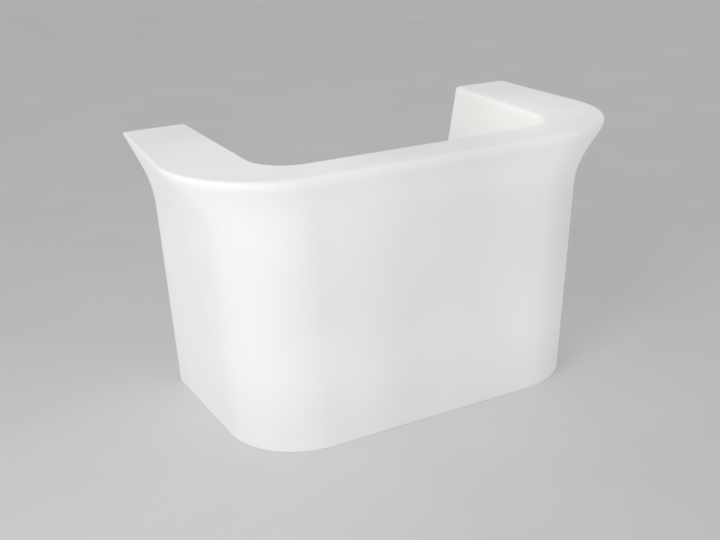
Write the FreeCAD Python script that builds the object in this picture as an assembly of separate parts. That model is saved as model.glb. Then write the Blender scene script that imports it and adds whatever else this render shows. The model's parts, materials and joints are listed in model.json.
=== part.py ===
import FreeCAD, Part
import math
import os

# Illuminated bar counter: a hollow moulded U of translucent plastic, open at the back for the person serving.
# Lamp battens sit inside the wall, on removable hatch covers that face the serving bay.
# Millimetres, X to the right, Y towards the open back, Z up, origin on the floor under the plan's middle.

# Counter body
HEIGHT = 1100.0
DEPTH = 940.0
BASE_WIDTH = 1506.0
SIDE_DRAFT = 45.0
FRONT_DRAFT = 30.0
CORNER_RADIUS = 296.0
WALL = 7.0

# Flared lip: how far it stands out past the leaning walls, and where its curve starts below the top,
# lower at the arm ends than along the front
LIP_AT_ARM_ENDS = 90.0
LIP_AT_FRONT_LINE = 204.0
LIP_FRONT = 72.5
LIP_CORNER_GROWTH = 120.0
ARM_FLARE_DROP = 320.0
FRONT_FLARE_DROP = 255.0
FLARE_BLEND = 190.0

# Serving bay between the arms
BAY_WIDTH = 1272.0
FRONT_BAND = 170.0
BAY_LEAN = 205.0
BAY_RADIUS = 155.0

# Rounded edges of the moulding: the lip is rolled along the front and tightens towards the arm ends
LIP_ROLL_RADIUS = 45.0
ARM_EDGE_RADIUS = 12.0
TOP_EDGE_RADIUS = 9.0
BASE_EDGE_RADIUS = 8.0
LEAST_RADIUS = 1.0
EDGE_STEPS = 2
ROLL_STEPS = 3
INNER_ROLL_STEPS = 2
FLARE_STEPS = 3

# Hatch covers in the bay walls, each on a gasket in a moulded recess
HATCH_HEIGHT = 550.0
FRONT_COVER_LENGTH = 620.0
ARM_HATCH_MARGIN = 86.25
COVER_HEIGHT = 220.0
COVER_THICKNESS = 5.0
COVER_RADIUS = 24.0
COVER_GAP = 1.5
HATCH_SEAT = 24.0
GASKET_THICKNESS = 2.0
GASKET_WIDTH = 8.0
TONGUE_LENGTH = 40.0
TONGUE_THICKNESS = 4.0
TONGUE_REACH = 14.0
TONGUE_INSET = 75.0

# Two screws along the top of each cover, and the brass inserts that take them
SCREW_INSET = 60.0
SCREW_RADIUS = 3.0
SCREW_HEAD_RADIUS = 6.0
SCREW_HEAD_HEIGHT = 3.5
INSERT_RADIUS = 6.0
INSERT_LENGTH = 14.0
BOSS_WALL = 4.0

# Lamp battens: folded brackets, an aluminium channel, a strip of light diodes and an opal diffuser
BATTEN_OFFSET = 45.0
BATTEN_END_ROOM = 20.0
BRACKET_LENGTH = 20.0
BRACKET_INSET = 25.0
BRACKET_RISE = 16.0
BRACKET_SHEET = 1.5
BRACKET_FOOT = 12.0
CHANNEL_WIDTH = 40.0
CHANNEL_HEIGHT = 14.0
CHANNEL_WALL = 2.0
STRIP_WIDTH = 30.0
STRIP_THICKNESS = 1.6
DIODE_SIZE = 5.0
DIODE_HEIGHT = 1.2
DIODE_PITCH = 36.0
DIFFUSER_TOP = 22.0
DIFFUSER_HEIGHT = 17.0
DIFFUSER_WALL = 1.5
END_CAP = 3.0

# Supply box on the back of the front cover, with the driver, terminals, flat leads and their glands
BOX_LENGTH = 190.0
BOX_HEIGHT = 76.0
BOX_DEPTH = 56.0
BOX_WALL = 3.0
DRIVER_LENGTH = 78.0
DRIVER_HEIGHT = 48.0
DRIVER_DEPTH = 22.0
DRIVER_SHIFT = 26.0
TERMINAL_LENGTH = 44.0
TERMINAL_HEIGHT = 18.0
TERMINAL_DEPTH = 16.0
TERMINAL_GAP = 6.0
LEAD_WIDTH = 6.0
LEAD_THICKNESS = 3.0
LEAD_GLAND_RADIUS = 8.0
LEAD_ROOM = 1.0
LEAD_GLAND_LENGTH = 12.0
CLIP_LENGTH = 12.0
CLIP_WALL = 3.0

# Rocker switch, let through the front cover into the supply box
SWITCH_OFFSET = 48.0
SWITCH_WINDOW_LENGTH = 24.4
SWITCH_WINDOW_WIDTH = 14.6
SWITCH_WALL = 2.6
SWITCH_BEZEL = 3.0
SWITCH_BEZEL_HEIGHT = 2.0
SWITCH_SLEEVE = 18.0
ROCKER_LENGTH = 22.0
ROCKER_WIDTH = 14.0
ROCKER_RISE = 3.4
ROCKER_DIP = 1.6
ROCKER_SKIRT = 3.0
ROCKER_HEEL = 7.0
ROCKER_HEEL_WIDTH = 6.0
ROCKER_PIVOT_DEPTH = 1.0
ROCKER_PIN_RADIUS = 1.2
ROCKER_PIN_LENGTH = 2.0
ROCKER_TILT = 9.0
BLADE_WIDTH = 6.3
BLADE_THICKNESS = 0.8
BLADE_LENGTH = 8.0
BLADE_SPACING = 10.0

# Mains inlet socket beside the switch
INLET_OFFSET = 48.0
INLET_CAVITY_LENGTH = 24.0
INLET_CAVITY_HEIGHT = 16.4
INLET_CAVITY_DEPTH = 16.0
INLET_BEVEL = 5.0
INLET_WALL = 2.0
INLET_FLANGE = 4.0
INLET_FLANGE_HEIGHT = 2.5
INLET_FLOOR = 4.0
PIN_WIDTH = 4.0
PIN_THICKNESS = 2.0
PIN_LENGTH = 12.0
PIN_SPACING = 14.0
PIN_STEP = 4.0

# Levelling feet, wound up into pockets under the base
FOOT_END_INSET = 90.0
POCKET_WIDTH = 62.0
POCKET_DEPTH = 22.0
PAD_RADIUS = 25.0
PAD_HEIGHT = 9.0
PAD_HUB_RADIUS = 10.0
PAD_HUB_HEIGHT = 5.0
PAD_CLEAR_OF_FLOOR = 1.0
STEM_RADIUS = 5.0
STEM_LENGTH = 36.0
FOOT_INSERT_RADIUS = 9.0
FOOT_INSERT_LENGTH = 24.0
FOOT_BOSS_WALL = 8.0

# Clearances: a free hole, a running fit, a pressed fit, the overrun of cuts, and what counts as flat
HOLE_CLEARANCE = 0.4
RUNNING_CLEARANCE = 0.3
SEAT_CLEARANCE = 0.1
OVERRUN = 5.0
FLATNESS = 0.001

# Places and sizes that follow from the values above
FLARE_START = HEIGHT - ARM_FLARE_DROP
FLARE_STRAIGHT = HEIGHT - FRONT_FLARE_DROP + FLARE_BLEND
BACK_Y = DEPTH / 2
LIP_SLOPE = LIP_FRONT / (FRONT_FLARE_DROP - FLARE_BLEND / 2) + FRONT_DRAFT / HEIGHT
LIP_NOSE_LOSS = LIP_ROLL_RADIUS * (1 + LIP_SLOPE - math.hypot(1, LIP_SLOPE))
BASE_FRONT_Y = FRONT_DRAFT + LIP_FRONT - LIP_NOSE_LOSS - DEPTH / 2
BAY_TOP_Y = FRONT_BAND - DEPTH / 2
HOLLOW_FACE = WALL * HEIGHT / math.hypot(HEIGHT, BAY_LEAN)
RECESS_DEPTH = COVER_THICKNESS + GASKET_THICKNESS
OPENING_HEIGHT = COVER_HEIGHT - 2 * HATCH_SEAT
OPENING_RADIUS = max(COVER_RADIUS - HATCH_SEAT / 2, LEAST_RADIUS)
BAY_RUN_START = BAY_TOP_Y + BAY_LEAN * (1 - HATCH_HEIGHT / HEIGHT) + BAY_RADIUS
ARM_HATCH_Y = (BAY_RUN_START + BACK_Y) / 2
ARM_COVER_LENGTH = BACK_Y - BAY_RUN_START - 2 * ARM_HATCH_MARGIN
CHANNEL_SEAT = COVER_THICKNESS + BRACKET_RISE
CHANNEL_RIM = CHANNEL_SEAT + CHANNEL_HEIGHT
LEAD_DEPTH = COVER_THICKNESS + BOX_DEPTH / 2
FEED_DEPTH = CHANNEL_SEAT + CHANNEL_HEIGHT / 2
LEAD_BEND = BAY_RADIUS + LEAD_DEPTH
SLOT_WIDTH = LEAD_WIDTH + 2 * LEAD_ROOM
SLOT_THICKNESS = LEAD_THICKNESS + 2 * LEAD_ROOM
BOX_FLOOR = BOX_WALL - COVER_THICKNESS - BOX_DEPTH
PAD_TOP = PAD_CLEAR_OF_FLOOR + PAD_HEIGHT + PAD_HUB_HEIGHT
STEM_TOP = PAD_TOP + STEM_LENGTH
X_AXIS = FreeCAD.Vector(1, 0, 0)
Y_AXIS = FreeCAD.Vector(0, 1, 0)
Z_AXIS = FreeCAD.Vector(0, 0, 1)
HEX_TURNS = [math.pi / 3 * side for side in range(6)]
HEX_FLAT_SHARE = math.cos(math.pi / 6)
SIDES = (("left", -1), ("right", 1))


# Shared building steps

def export(name, shapes):
    """Write one piece, or a group of like pieces, as a node."""
    solids = [solid for shape in shapes for solid in shape.Solids]
    Part.makeCompound(solids).exportStep(os.path.join("parts", name + ".step"))


def rounded_wire(corners, z):
    """Closed outline of straight runs and tangent arcs through corners given as (x, y, radius)."""
    turns = []
    for index, (x, y, radius) in enumerate(corners):
        corner = FreeCAD.Vector(x, y, z)
        following = corners[(index + 1) % len(corners)]
        back = (FreeCAD.Vector(corners[index - 1][0], corners[index - 1][1], z) - corner).normalize()
        ahead = (FreeCAD.Vector(following[0], following[1], z) - corner).normalize()
        half_angle = back.getAngle(ahead) / 2
        reach = radius / math.tan(half_angle)
        middle = corner + (back + ahead).normalize() * (radius / math.sin(half_angle) - radius)
        turns.append((corner + back * reach, middle, corner + ahead * reach, radius))
    edges = []
    for index, (start, middle, end, radius) in enumerate(turns):
        edges.append(Part.LineSegment(turns[index - 1][2], start).toShape())
        if radius > 0:
            edges.append(Part.Arc(start, middle, end).toShape())
    return Part.Wire(edges)


def upright(corners, top, bottom):
    """Prism between two heights on an outline of corners given as (x, y, radius)."""
    return Part.Face(rounded_wire(corners, bottom)).extrude(Z_AXIS * (top - bottom))


def rounded_box(length, height, radius, top, bottom, x=0, y=0):
    """Block between two heights, with its upright edges rounded."""
    quarters = ((-1, -1), (1, -1), (1, 1), (-1, 1))
    corners = [(x + length * right / 2, y + height * up / 2, radius) for right, up in quarters]
    return upright(corners, top, bottom)


def box(length, height, top, bottom, x=0, y=0):
    """Block between two heights, with its middle at x, y."""
    return Part.makeBox(length, height, top - bottom, FreeCAD.Vector(x - length / 2, y - height / 2, bottom))


def rod(radius, top, bottom, x=0, y=0):
    return Part.makeCylinder(radius, top - bottom, FreeCAD.Vector(x, y, bottom), Z_AXIS)


def hexagon(radius, top, bottom, x=0, y=0):
    """Six-sided bar between two heights, sized over its corners."""
    return upright([(x + radius * math.cos(t), y + radius * math.sin(t), 0) for t in HEX_TURNS], top, bottom)


def along_x(points, length, x=0, y=0):
    """Bar along X with its middle at x, from a section given as (y, z) about y."""
    path = [FreeCAD.Vector(x - length / 2, y + across, z) for across, z in points]
    return Part.Face(Part.makePolygon(path + path[:1])).extrude(X_AXIS * length)


def wall_between(low, high):
    """Face between two edges, one above the other: a plane where it lies flat, and ruled elsewhere."""
    face = Part.makeRuledSurface(low, high)
    if not face.findPlane(FLATNESS):
        return face
    path = [corner.Point for corner in low.Vertexes + high.Vertexes[::-1]]
    return Part.Face(Part.makePolygon(path + path[:1]))


def lofted(outlines):
    """Solid through outlines of like edges, one above the other."""
    faces = [Part.Face(outlines[0]), Part.Face(outlines[-1])]
    for lower, upper in zip(outlines, outlines[1:]):
        faces += [wall_between(low, high) for low, high in zip(lower.Edges, upper.Edges)]
    shell = Part.makeShell(faces)
    shell.sewShape()
    return Part.makeSolid(shell)


def placed(shape, placement):
    """The same piece, moved from its flat layout into its wall."""
    return shape.transformed(placement.toMatrix(), True)


def frame_at(point, along, outward):
    """Placement that sends X to one direction and Z to another at right angles to it."""
    up = outward.cross(along)
    return FreeCAD.Placement(FreeCAD.Matrix(
        along.x, up.x, outward.x, point.x,
        along.y, up.y, outward.y, point.y,
        along.z, up.z, outward.z, point.z,
        0, 0, 0, 1))


# Counter shell

def flare_share(z, drop):
    """How much of the lip's overhang is reached at a height: a curve that runs into a straight slope."""
    rise = z - HEIGHT + drop
    run = drop - FLARE_BLEND / 2
    if rise <= 0:
        return 0.0
    if rise <= FLARE_BLEND:
        return rise ** 2 / (2 * FLARE_BLEND * run)
    return (rise - FLARE_BLEND / 2) / run


def bay_half_at(z):
    return BAY_WIDTH / 2 - BAY_LEAN * (1 - z / HEIGHT)


def bay_front_at(z):
    return BAY_TOP_Y + BAY_LEAN * (1 - z / HEIGHT)


def plan_outline(z, inset, front_inset):
    """Outline of the U at a height, drawn in by one inset at the arms and the bay and by one at the front."""
    flare = flare_share(z, FRONT_FLARE_DROP)
    side = BASE_WIDTH / 2 + SIDE_DRAFT * z / HEIGHT
    end_half = side + LIP_AT_ARM_ENDS * flare_share(z, ARM_FLARE_DROP) - inset
    front_half = side + LIP_AT_FRONT_LINE * flare - front_inset
    front = BASE_FRONT_Y - FRONT_DRAFT * z / HEIGHT - LIP_FRONT * flare + front_inset
    back = BACK_Y - inset
    bay_half = bay_half_at(z) + inset
    bay_front = bay_front_at(z) - inset
    corner = CORNER_RADIUS + LIP_CORNER_GROWTH * flare - front_inset
    bay_corner = BAY_RADIUS + inset
    end_edge = max(ARM_EDGE_RADIUS - inset, LEAST_RADIUS)
    right = [(end_half, back, end_edge), (front_half, front, corner)]
    left = [(-front_half, front, corner), (-end_half, back, end_edge)]
    bay_left = [(-bay_half, back, end_edge), (-bay_half, bay_front, bay_corner)]
    bay_right = [(bay_half, bay_front, bay_corner), (bay_half, back, end_edge)]
    return rounded_wire(right + left + bay_left + bay_right, z)


def flare_heights():
    rise = FLARE_STRAIGHT - FLARE_START
    return [FLARE_START + rise * step / FLARE_STEPS for step in range(FLARE_STEPS + 1)]


def quarter_turns(steps):
    return [math.pi / 2 * step / steps for step in range(steps + 1)]


def edge_inset(z, radius):
    """How far an edge rounded to a radius has drawn in at a height near the top."""
    climbed = max(z - HEIGHT + radius, 0.0)
    return radius - math.sqrt(max(radius ** 2 - climbed ** 2, 0.0))


def shell_outside():
    """Outer skin, with rounded edges where it meets the floor and the top."""
    base = BASE_EDGE_RADIUS
    outlines = []
    for turn in quarter_turns(EDGE_STEPS):
        inset = base * (1 - math.sin(turn))
        outlines.append(plan_outline(base * (1 - math.cos(turn)), inset, inset))
    outlines += [plan_outline(z, 0.0, 0.0) for z in flare_heights()]
    for turn in quarter_turns(ROLL_STEPS):
        z = HEIGHT - LIP_ROLL_RADIUS * (1 - math.sin(turn))
        outlines.append(plan_outline(z, edge_inset(z, TOP_EDGE_RADIUS), edge_inset(z, LIP_ROLL_RADIUS)))
    return lofted(outlines)


def shell_hollow():
    """Space inside the moulding, one wall in from the outer skin."""
    outlines = [plan_outline(z, WALL, WALL) for z in [WALL] + flare_heights()]
    inner_roll = LIP_ROLL_RADIUS - WALL
    for turn in quarter_turns(INNER_ROLL_STEPS):
        z = HEIGHT - WALL - inner_roll * (1 - math.sin(turn))
        outlines.append(plan_outline(z, WALL, WALL + inner_roll * (1 - math.cos(turn))))
    return lofted(outlines)


def build_shell(hatches):
    kept = [placed(hatch_walls(length), place) for name, place, length in hatches]
    kept += [foot_walls(x, y) for name, x, y in foot_places()]
    cuts = [placed(hatch_cuts(length), place) for name, place, length in hatches]
    cuts += [foot_cuts(x, y) for name, x, y in foot_places()]
    shell = shell_outside().cut(shell_hollow().cut(kept)).cut(cuts)
    export("counter_shell", [shell])


# Hatches: each is laid out flat, outer face at Z = 0 and top towards Y, then set into its bay wall

def hatch_places():
    """Name, placement and cover length of the three hatches."""
    point = FreeCAD.Vector(0, bay_front_at(HATCH_HEIGHT), HATCH_HEIGHT)
    outward = FreeCAD.Vector(0, HEIGHT, BAY_LEAN).normalize()
    hatches = [("front", frame_at(point, -X_AXIS, outward), FRONT_COVER_LENGTH)]
    for name, side in SIDES:
        point = FreeCAD.Vector(side * bay_half_at(HATCH_HEIGHT), ARM_HATCH_Y, HATCH_HEIGHT)
        outward = FreeCAD.Vector(-side * HEIGHT, 0, BAY_LEAN).normalize()
        hatches.append((name, frame_at(point, Y_AXIS * -side, outward), ARM_COVER_LENGTH))
    return hatches


def screw_places(length):
    """Screw positions on the seat along the top of a cover."""
    reach = length / 2 - SCREW_INSET
    row = (COVER_HEIGHT - HATCH_SEAT) / 2
    return [(-reach, row), (reach, row)]


def hatch_opening(length, top, bottom):
    return rounded_box(length - 2 * HATCH_SEAT, OPENING_HEIGHT, OPENING_RADIUS, top, bottom)


def hatch_cuts(length):
    """Recess, opening and insert bores taken out of the moulding."""
    radius = COVER_RADIUS + COVER_GAP
    recess = rounded_box(length + 2 * COVER_GAP, COVER_HEIGHT + 2 * COVER_GAP, radius, OVERRUN, -RECESS_DEPTH)
    opening = hatch_opening(length, 0, -RECESS_DEPTH - WALL - OVERRUN)
    end = -RECESS_DEPTH - INSERT_LENGTH
    bores = [hexagon(INSERT_RADIUS + SEAT_CLEARANCE, 0, end, x, y) for x, y in screw_places(length)]
    return recess.fuse([opening] + bores)


def hatch_walls(length):
    """Solid plastic kept round the recess and the insert bosses."""
    margin = COVER_GAP + WALL
    radius = COVER_RADIUS + margin
    seat = rounded_box(length + 2 * margin, COVER_HEIGHT + 2 * margin, radius, OVERRUN, -RECESS_DEPTH - WALL)
    end = -RECESS_DEPTH - INSERT_LENGTH - BOSS_WALL
    return seat.fuse([hexagon(INSERT_RADIUS + BOSS_WALL, 0, end, x, y) for x, y in screw_places(length)])


def tongue(x):
    """Hook at the foot of a cover that catches behind the seat."""
    face = -COVER_THICKNESS
    catch = -RECESS_DEPTH - WALL - SEAT_CLEARANCE
    edge = HOLE_CLEARANCE - OPENING_HEIGHT / 2
    leg = edge + TONGUE_THICKNESS
    tip = edge - TONGUE_REACH
    low = catch - TONGUE_THICKNESS
    section = [(edge, face), (leg, face), (leg, low), (tip, low), (tip, catch), (edge, catch)]
    return along_x(section, TONGUE_LENGTH, x)


def hatch_cover(length):
    plate = rounded_box(length, COVER_HEIGHT, COVER_RADIUS, 0, -COVER_THICKNESS)
    reach = length / 2 - TONGUE_INSET
    holes = [rod(SCREW_RADIUS + HOLE_CLEARANCE, 0, -COVER_THICKNESS, x, y) for x, y in screw_places(length)]
    return plate.fuse([tongue(-reach), tongue(reach)]).cut(holes)


def hatch_gasket(length):
    """Flat rubber frame between the cover and its seat."""
    run = length - 2 * HATCH_SEAT + 2 * GASKET_WIDTH
    height = OPENING_HEIGHT + 2 * GASKET_WIDTH
    ring = rounded_box(run, height, OPENING_RADIUS + GASKET_WIDTH, -COVER_THICKNESS, -RECESS_DEPTH)
    return ring.cut(hatch_opening(length, 0, -RECESS_DEPTH))


def hatch_screw(x, y):
    """Screw with its head on the face of the cover."""
    shank = rod(SCREW_RADIUS, 0, -RECESS_DEPTH - INSERT_LENGTH, x, y)
    return shank.fuse(hexagon(SCREW_HEAD_RADIUS, SCREW_HEAD_HEIGHT, 0, x, y))


def hatch_insert(x, y):
    """Six-sided brass sleeve moulded into its boss, with a bore of the same form."""
    end = -RECESS_DEPTH - INSERT_LENGTH
    bore = (SCREW_RADIUS + SEAT_CLEARANCE) / HEX_FLAT_SHARE
    return hexagon(INSERT_RADIUS, -RECESS_DEPTH, end, x, y).cut(hexagon(bore, 0, end, x, y))


# Lamp battens, hung on the inner faces of the covers

def batten_length(cover_length):
    return cover_length - 2 * HATCH_SEAT - 2 * BATTEN_END_ROOM


def bracket(x, y):
    """Folded sheet hat that stands on the cover and carries the channel."""
    foot = -COVER_THICKNESS
    sole = foot - BRACKET_SHEET
    crown = BRACKET_SHEET - CHANNEL_SEAT
    half = CHANNEL_WIDTH / 2
    outer = half + BRACKET_FOOT
    inner = half - BRACKET_SHEET
    section = [(-outer, foot), (-inner, foot), (-inner, crown), (inner, crown), (inner, foot), (outer, foot)]
    section += [(outer, sole), (half, sole), (half, -CHANNEL_SEAT)]
    section += [(-half, -CHANNEL_SEAT), (-half, sole), (-outer, sole)]
    return along_x(section, BRACKET_LENGTH, x, y)


def channel(length, y):
    half = CHANNEL_WIDTH / 2
    inner = half - CHANNEL_WALL
    floor = -CHANNEL_SEAT - CHANNEL_WALL
    section = [(-half, -CHANNEL_SEAT), (half, -CHANNEL_SEAT), (half, -CHANNEL_RIM), (inner, -CHANNEL_RIM)]
    section += [(inner, floor), (-inner, floor), (-inner, -CHANNEL_RIM), (-half, -CHANNEL_RIM)]
    return along_x(section, length, 0, y)


def diode_strip(length, y):
    face = -CHANNEL_SEAT - CHANNEL_WALL
    return box(length, STRIP_WIDTH, face, face - STRIP_THICKNESS, 0, y)


def diodes(length, y):
    face = -CHANNEL_SEAT - CHANNEL_WALL - STRIP_THICKNESS
    count = int(length // DIODE_PITCH)
    places = [DIODE_PITCH * (index - (count - 1) / 2) for index in range(count)]
    return [box(DIODE_SIZE, DIODE_SIZE, face, face - DIODE_HEIGHT, x, y) for x in places]


def diffuser(length, y):
    """Opal cover with sloping sides, standing on the rims of the channel."""
    half = CHANNEL_WIDTH / 2
    top = DIFFUSER_TOP / 2
    low = -CHANNEL_RIM - DIFFUSER_HEIGHT
    section = [(-half, -CHANNEL_RIM), (-top, low), (top, low), (half, -CHANNEL_RIM)]
    inner_half = half - DIFFUSER_WALL
    inner_top = top - DIFFUSER_WALL
    inner_low = low + DIFFUSER_WALL
    section += [(inner_half, -CHANNEL_RIM), (inner_top, inner_low)]
    section += [(-inner_top, inner_low), (-inner_half, -CHANNEL_RIM)]
    return along_x(section, length, 0, y)


def end_cap(length, y, side):
    """Plate in the shape of the batten's end, closing channel and diffuser."""
    half = CHANNEL_WIDTH / 2
    top = DIFFUSER_TOP / 2
    low = -CHANNEL_RIM - DIFFUSER_HEIGHT
    section = [(-half, -CHANNEL_SEAT), (half, -CHANNEL_SEAT), (half, -CHANNEL_RIM)]
    section += [(top, low), (-top, low), (-half, -CHANNEL_RIM)]
    return along_x(section, END_CAP, side * (length + END_CAP) / 2, y)


def build_hatches(hatches):
    inserts = []
    for name, place, length in hatches:
        is_front = name == "front"
        y = BATTEN_OFFSET if is_front else -BATTEN_OFFSET
        run = batten_length(length)
        reach = run / 2 - BRACKET_INSET
        cover = hatch_cover(length)
        if is_front:
            cover = cover.cut(supply_windows())
        pieces = {
            "hatch_cover": [cover],
            "hatch_gasket": [hatch_gasket(length)],
            "hatch_screws": [hatch_screw(x, row) for x, row in screw_places(length)],
            "batten_brackets": [bracket(-reach, y), bracket(reach, y)],
            "batten_channel": [channel(run, y)],
            "diode_strip": [diode_strip(run, y)],
            "diodes": diodes(run, y),
            "batten_diffuser": [diffuser(run, y)],
            "batten_end_caps": [end_cap(run, y, -1), end_cap(run, y, 1)],
        }
        for piece, shapes in pieces.items():
            export(piece + "_" + name, [placed(shape, place) for shape in shapes])
        inserts += [placed(hatch_insert(x, row), place) for x, row in screw_places(length)]
    export("hatch_inserts", inserts)


# Supply box and what it holds

def supply_box():
    """Tub on the back of the front cover, slotted at both ends and at the top for the leads."""
    y = -BATTEN_OFFSET
    face = -COVER_THICKNESS
    tub = box(BOX_LENGTH, BOX_HEIGHT, face, face - BOX_DEPTH, 0, y)
    room = box(BOX_LENGTH - 2 * BOX_WALL, BOX_HEIGHT - 2 * BOX_WALL, 0, BOX_FLOOR, 0, y)
    half = SLOT_THICKNESS / 2
    ends = box(BOX_LENGTH, SLOT_WIDTH, half - LEAD_DEPTH, -half - LEAD_DEPTH, 0, y)
    top = box(SLOT_WIDTH, BOX_HEIGHT, half - FEED_DEPTH, -half - FEED_DEPTH, 0, y + BOX_HEIGHT / 2)
    return tub.cut([room, ends, top])


def driver_module():
    """Encapsulated driver on the floor of the supply box."""
    top = BOX_FLOOR + DRIVER_DEPTH
    return box(DRIVER_LENGTH, DRIVER_HEIGHT, top, BOX_FLOOR, DRIVER_SHIFT, -BATTEN_OFFSET)


def terminal_block():
    x = DRIVER_SHIFT - (DRIVER_LENGTH + TERMINAL_LENGTH) / 2 - TERMINAL_GAP
    return box(TERMINAL_LENGTH, TERMINAL_HEIGHT, BOX_FLOOR + TERMINAL_DEPTH, BOX_FLOOR, x, -BATTEN_OFFSET)


def lead_glands():
    """Small glands on both ends of the box and on the side that faces the front batten."""
    end = BOX_LENGTH / 2
    top = BOX_HEIGHT / 2 - BATTEN_OFFSET
    places = [(X_AXIS, Y_AXIS, end, -BATTEN_OFFSET, -LEAD_DEPTH)]
    places.append((-X_AXIS, Y_AXIS, -end, -BATTEN_OFFSET, -LEAD_DEPTH))
    places.append((Y_AXIS, X_AXIS, 0, top, -FEED_DEPTH))
    slot = box(SLOT_WIDTH, SLOT_THICKNESS, LEAD_GLAND_LENGTH, 0)
    gland = hexagon(LEAD_GLAND_RADIUS, LEAD_GLAND_LENGTH, 0).cut(slot)
    return [placed(gland, frame_at(FreeCAD.Vector(x, y, z), wide, axis)) for axis, wide, x, y, z in places]


def front_lead():
    """Short flat lead from the supply box to the side of the front batten."""
    start = BOX_HEIGHT / 2 - BOX_WALL - BATTEN_OFFSET
    end = BATTEN_OFFSET - CHANNEL_WIDTH / 2
    half = LEAD_THICKNESS / 2
    return box(LEAD_WIDTH, end - start, half - FEED_DEPTH, -half - FEED_DEPTH, 0, (start + end) / 2)


def arm_lead(front, arm, side):
    """Flat lead from the end of the supply box, round the corner of the bay, to the batten in one arm."""
    start = front.multVec(FreeCAD.Vector(-side * (BOX_LENGTH / 2 - BOX_WALL), -BATTEN_OFFSET, -LEAD_DEPTH))
    reach = batten_length(ARM_COVER_LENGTH) / 2 + END_CAP
    end = arm.multVec(FreeCAD.Vector(side * reach, -BATTEN_OFFSET, -LEAD_DEPTH))
    half = LEAD_THICKNESS / 2
    far = end.x + side * half
    near = end.x - side * half
    corners = [(start.x, start.y - half, 0), (far, start.y - half, LEAD_BEND + half), (far, end.y, 0)]
    corners += [(near, end.y, 0), (near, start.y + half, LEAD_BEND - half), (start.x, start.y + half, 0)]
    return upright(corners, start.z + LEAD_WIDTH / 2, start.z - LEAD_WIDTH / 2)


def lead_clip(x):
    """Block on the hollow side of a bay wall, with a slot for the lead."""
    top = SLOT_THICKNESS / 2 - LEAD_DEPTH
    low = -SLOT_THICKNESS / 2 - LEAD_DEPTH
    width = SLOT_WIDTH + 2 * CLIP_WALL
    block = box(CLIP_LENGTH, width, -HOLLOW_FACE, low - CLIP_WALL, x, -BATTEN_OFFSET)
    return block.cut(box(CLIP_LENGTH, SLOT_WIDTH, top, low, x, -BATTEN_OFFSET))


def clip_reach(front, arm):
    """Distance of the clips from the middles of the front hatch and of an arm hatch."""
    lead = FreeCAD.Vector(0, -BATTEN_OFFSET, -LEAD_DEPTH)
    bend_x = abs(arm.multVec(lead).x) - LEAD_BEND
    bend_y = front.multVec(lead).y + LEAD_BEND
    margin = COVER_GAP + WALL
    on_front = (FRONT_COVER_LENGTH / 2 + margin + bend_x) / 2
    on_arm = (ARM_COVER_LENGTH / 2 + margin + ARM_HATCH_Y - bend_y) / 2
    return on_front, on_arm


# Rocker switch

def switch_frame():
    """Bezel and sleeve with a floor, bored at both sides for the rocker's pins."""
    length = SWITCH_WINDOW_LENGTH
    width = SWITCH_WINDOW_WIDTH
    rim = 2 * (SWITCH_WALL + SWITCH_BEZEL)
    bezel = box(width + rim, length + rim, SWITCH_BEZEL_HEIGHT, 0)
    sleeve = box(width + 2 * SWITCH_WALL, length + 2 * SWITCH_WALL, 0, -SWITCH_SLEEVE)
    window = box(width, length, SWITCH_BEZEL_HEIGHT, SWITCH_WALL - SWITCH_SLEEVE)
    span = ROCKER_WIDTH + 2 * ROCKER_PIN_LENGTH + 2 * RUNNING_CLEARANCE
    start = FreeCAD.Vector(-span / 2, 0, -ROCKER_PIVOT_DEPTH)
    bore = Part.makeCylinder(ROCKER_PIN_RADIUS + RUNNING_CLEARANCE, span, start, X_AXIS)
    return bezel.fuse(sleeve).cut([window, bore])


def switch_rocker():
    """Dished rocker on two pins, drawn tipped to its lit position."""
    end = ROCKER_LENGTH / 2
    heel = ROCKER_HEEL_WIDTH / 2
    low = ROCKER_RISE - ROCKER_SKIRT
    section = [(-end, ROCKER_RISE), (0, ROCKER_RISE - ROCKER_DIP), (end, ROCKER_RISE), (end, low)]
    section += [(heel, -ROCKER_HEEL), (-heel, -ROCKER_HEEL), (-end, low)]
    span = ROCKER_WIDTH + 2 * ROCKER_PIN_LENGTH
    pivot = FreeCAD.Vector(0, 0, -ROCKER_PIVOT_DEPTH)
    pins = Part.makeCylinder(ROCKER_PIN_RADIUS, span, pivot - X_AXIS * span / 2, X_AXIS)
    rocker = along_x(section, ROCKER_WIDTH).fuse(pins)
    return rocker.rotate(pivot, X_AXIS, ROCKER_TILT)


def switch_blades():
    """Flat terminals under the floor of the switch."""
    top = -SWITCH_SLEEVE
    rows = (-BLADE_SPACING / 2, BLADE_SPACING / 2)
    return [box(BLADE_WIDTH, BLADE_THICKNESS, top, top - BLADE_LENGTH, 0, row) for row in rows]


# Mains inlet

def inlet_socket():
    """Flanged socket with two bevelled corners in its cavity."""
    length = INLET_CAVITY_LENGTH + 2 * INLET_WALL
    height = INLET_CAVITY_HEIGHT + 2 * INLET_WALL
    flange = box(length + 2 * INLET_FLANGE, height + 2 * INLET_FLANGE, INLET_FLANGE_HEIGHT, 0)
    floor = INLET_FLANGE_HEIGHT - INLET_CAVITY_DEPTH
    body = box(length, height, 0, floor - INLET_FLOOR)
    right = INLET_CAVITY_LENGTH / 2
    up = INLET_CAVITY_HEIGHT / 2
    outline = [(-right, -up, 0), (right, -up, 0), (right, up - INLET_BEVEL, 0), (right - INLET_BEVEL, up, 0)]
    outline += [(INLET_BEVEL - right, up, 0), (-right, up - INLET_BEVEL, 0)]
    return flange.fuse(body).cut(upright(outline, INLET_FLANGE_HEIGHT, floor))


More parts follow.
